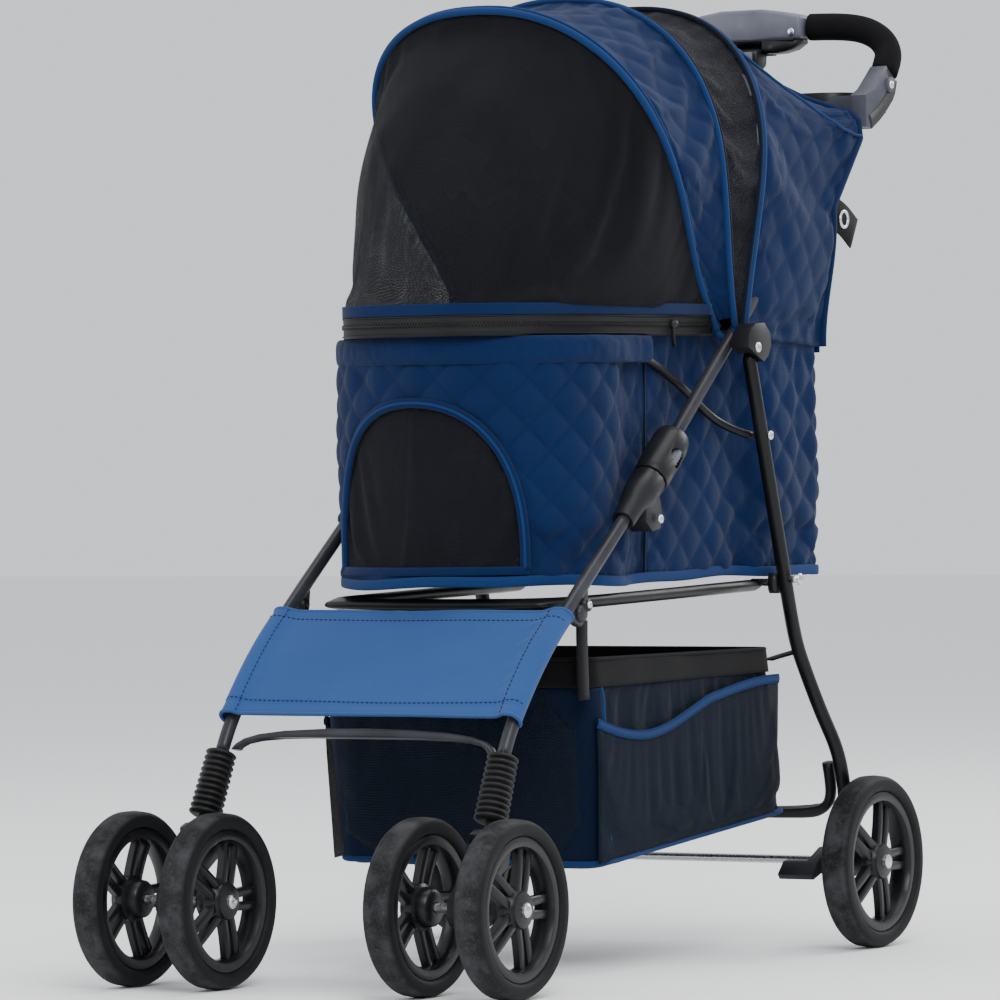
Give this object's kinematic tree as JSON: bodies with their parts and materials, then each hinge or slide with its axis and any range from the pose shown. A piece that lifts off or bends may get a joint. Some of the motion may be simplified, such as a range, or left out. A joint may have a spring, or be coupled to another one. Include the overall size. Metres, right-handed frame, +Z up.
{
  "type": "folding pet stroller",
  "caption": "Folding pet stroller with twin front casters, quilted zip-up cabin, hooped mesh canopy, footrest panel and storage basket.",
  "frame": {"origin": "centre of the footprint, on the ground", "axes": "+X to the right of the stroller, +Y to the rear where the handle is, +Z up"},
  "size_m": [0.507, 0.9658, 0.946],
  "materials": {
    "frame_black": "semi-gloss black powder coat",
    "frame_gunmetal": "semi-gloss dark grey paint",
    "plastic_black": "moulded black plastic",
    "plastic_grey": "moulded dark grey plastic",
    "tyre": "dusty dark grey foamed rubber",
    "rim": "black moulded wheel",
    "rubber_boot": "soft black rubber",
    "foam_grip": "closed-cell foam",
    "bright_steel": "zinc plated",
    "quilted_fabric": "royal navy quilted polyester",
    "mesh_fabric": "dark woven mesh",
    "floor_board": "fabric covered stiff board"
  },
  "bodies": {
    "rear_frame": {"rear_leg_right": "frame_black", "rear_leg_left": "frame_black", "rear_cross_tube": "frame_black", "rear_axle": "bright_steel", "axle_block_right": "plastic_black", "axle_block_left": "plastic_black", "hinge_bracket_right": "plastic_black", "hinge_bracket_left": "plastic_black", "rear_hoop": "frame_black", "cabin_tub": "quilted_fabric", "rear_hood": "quilted_fabric", "rear_wall": "quilted_fabric", "mid_mesh": "mesh_fabric", "storage_basket": "mesh_fabric"},
    "cabin_rim": {"rim_tube": "frame_black"},
    "seat": {"seat_frame_tube": "frame_black", "floor_board": "floor_board"},
    "handle_frame": {"handle_tube_right": "frame_gunmetal", "handle_tube_left": "frame_gunmetal", "handle_arm_right": "plastic_grey", "handle_arm_left": "plastic_grey", "grip_right": "foam_grip", "grip_left": "foam_grip", "console": "plastic_grey", "cup_tray": "plastic_black"},
    "fold_lever": {"fold_lever": "plastic_black"},
    "front_frame": {"front_leg_right": "frame_gunmetal", "front_leg_left": "frame_gunmetal", "front_cross_tube": "frame_gunmetal", "footrest_panel": "quilted_fabric", "latch_collar_right": "plastic_black", "latch_collar_left": "plastic_black", "boot_right": "rubber_boot", "boot_left": "rubber_boot"},
    "canopy_mid": {"mid_hoop": "frame_black", "canopy_band": "quilted_fabric"},
    "canopy_front": {"front_hoop": "frame_black", "front_mesh": "mesh_fabric"},
    "latch_sleeve_right": {"latch_sleeve_right": "plastic_black"},
    "latch_sleeve_left": {"latch_sleeve_left": "plastic_black"},
    "suspension_right": {"suspension_rod_right": "plastic_black"},
    "caster_right": {"caster_fork_right": "plastic_black", "caster_axle_right": "bright_steel"},
    "front_wheel_right_outer": {"front_wheel_right_outer_tyre": "tyre", "front_wheel_right_outer_rim": "rim"},
    "front_wheel_right_inner": {"front_wheel_right_inner_tyre": "tyre", "front_wheel_right_inner_rim": "rim"},
    "rear_wheel_right": {"rear_wheel_right_tyre": "tyre", "rear_wheel_right_rim": "rim"},
    "brake_right": {"brake_pedal_right": "plastic_black"},
    "suspension_left": {"suspension_rod_left": "plastic_black"},
    "caster_left": {"caster_fork_left": "plastic_black", "caster_axle_left": "bright_steel"},
    "front_wheel_left_outer": {"front_wheel_left_outer_tyre": "tyre", "front_wheel_left_outer_rim": "rim"},
    "front_wheel_left_inner": {"front_wheel_left_inner_tyre": "tyre", "front_wheel_left_inner_rim": "rim"},
    "rear_wheel_left": {"rear_wheel_left_tyre": "tyre", "rear_wheel_left_rim": "rim"},
    "brake_left": {"brake_pedal_left": "plastic_black"}
  },
  "joints": [
    {"name": "frame_fold", "type": "hinge", "parent": "rear_frame", "child": "handle_frame", "pos_m": [0, 0.12025, 0.604], "axis": [1, 0, 0], "range_deg": [-84, 0], "deforming": ["cabin_tub", "rear_hood", "rear_wall", "front_mesh", "storage_basket"]},
    {"name": "seat_fold", "type": "hinge", "parent": "rear_frame", "child": "seat", "pos_m": [0, 0.19725, 0.362], "axis": [1, 0, 0], "range_deg": [-42, 0]},
    {"name": "rim_fold", "type": "hinge", "parent": "rear_frame", "child": "cabin_rim", "pos_m": [0, 0.14225, 0.508], "axis": [1, 0, 0], "range_deg": [-39, 0]},
    {"name": "front_fold", "type": "hinge", "parent": "handle_frame", "child": "front_frame", "pos_m": [0, -0.05175, 0.43], "axis": [1, 0, 0], "range_deg": [0, 125]},
    {"name": "fold_lever_lift", "type": "slide", "parent": "handle_frame", "child": "fold_lever", "axis": [0, 0, 1], "range_m": [0, 0.006], "stiffness_N_per_m": 900},
    {"name": "latch_slide_right", "type": "slide", "parent": "handle_frame", "child": "latch_sleeve_right", "axis": [0, 0.7681, 0.6404], "range_m": [0, 0.012]},
    {"name": "latch_slide_left", "type": "slide", "parent": "handle_frame", "child": "latch_sleeve_left", "axis": [0, 0.7681, 0.6404], "range_m": [0, 0.012]},
    {"name": "suspension_right", "type": "slide", "parent": "front_frame", "child": "suspension_right", "axis": [0, 0.4294, 0.9031], "range_m": [0, 0.01], "stiffness_N_per_m": 9000, "springref_m": -0.003, "deforming": ["boot_right"]},
    {"name": "caster_swivel_right", "type": "hinge", "parent": "suspension_right", "child": "caster_right", "pos_m": [0.16, -0.36075, 0.139], "axis": [0, 0, 1], "continuous": true},
    {"name": "front_wheel_right_outer_spin", "type": "hinge", "parent": "caster_right", "child": "front_wheel_right_outer", "pos_m": [0.2082, -0.40075, 0.0825], "axis": [1, 0, 0], "continuous": true},
    {"name": "front_wheel_right_inner_spin", "type": "hinge", "parent": "caster_right", "child": "front_wheel_right_inner", "pos_m": [0.1118, -0.40075, 0.0825], "axis": [1, 0, 0], "continuous": true},
    {"name": "rear_wheel_right_spin", "type": "hinge", "parent": "rear_frame", "child": "rear_wheel_right", "pos_m": [0.2355, 0.24425, 0.085], "axis": [1, 0, 0], "continuous": true},
    {"name": "brake_right", "type": "hinge", "parent": "rear_frame", "child": "brake_right", "pos_m": [0.177, 0.24425, 0.085], "axis": [1, 0, 0], "range_deg": [0, 18]},
    {"name": "suspension_left", "type": "slide", "parent": "front_frame", "child": "suspension_left", "axis": [0, 0.4294, 0.9031], "range_m": [0, 0.01], "stiffness_N_per_m": 9000, "springref_m": -0.003, "deforming": ["boot_left"]},
    {"name": "caster_swivel_left", "type": "hinge", "parent": "suspension_left", "child": "caster_left", "pos_m": [-0.16, -0.36075, 0.139], "axis": [0, 0, 1], "continuous": true},
    {"name": "front_wheel_left_outer_spin", "type": "hinge", "parent": "caster_left", "child": "front_wheel_left_outer", "pos_m": [-0.2082, -0.40075, 0.0825], "axis": [1, 0, 0], "continuous": true},
    {"name": "front_wheel_left_inner_spin", "type": "hinge", "parent": "caster_left", "child": "front_wheel_left_inner", "pos_m": [-0.1118, -0.40075, 0.0825], "axis": [1, 0, 0], "continuous": true},
    {"name": "rear_wheel_left_spin", "type": "hinge", "parent": "rear_frame", "child": "rear_wheel_left", "pos_m": [-0.2355, 0.24425, 0.085], "axis": [1, 0, 0], "continuous": true},
    {"name": "brake_left", "type": "hinge", "parent": "rear_frame", "child": "brake_left", "pos_m": [-0.177, 0.24425, 0.085], "axis": [1, 0, 0], "range_deg": [0, 18]},
    {"name": "canopy_fold", "type": "hinge", "parent": "rear_frame", "child": "canopy_mid", "pos_m": [0, 0.12025, 0.604], "axis": [1, 0, 0], "range_deg": [-17, 0], "deforming": ["canopy_band", "mid_mesh"]},
    {"name": "canopy_front_fold", "type": "hinge", "parent": "canopy_mid", "child": "canopy_front", "pos_m": [0, 0.12025, 0.604], "axis": [1, 0, 0], "range_deg": [-17.5, 0]}
  ],
  "couplings": [
    {"joint": "seat_fold", "follows": "frame_fold", "ratio": 0.488},
    {"joint": "rim_fold", "follows": "frame_fold", "ratio": 0.45},
    {"joint": "front_fold", "follows": "frame_fold", "ratio": -1.4805},
    {"joint": "latch_slide_left", "follows": "latch_slide_right", "ratio": 1},
    {"joint": "brake_left", "follows": "brake_right", "ratio": 1},
    {"joint": "canopy_front_fold", "follows": "canopy_fold", "ratio": 1}
  ]
}
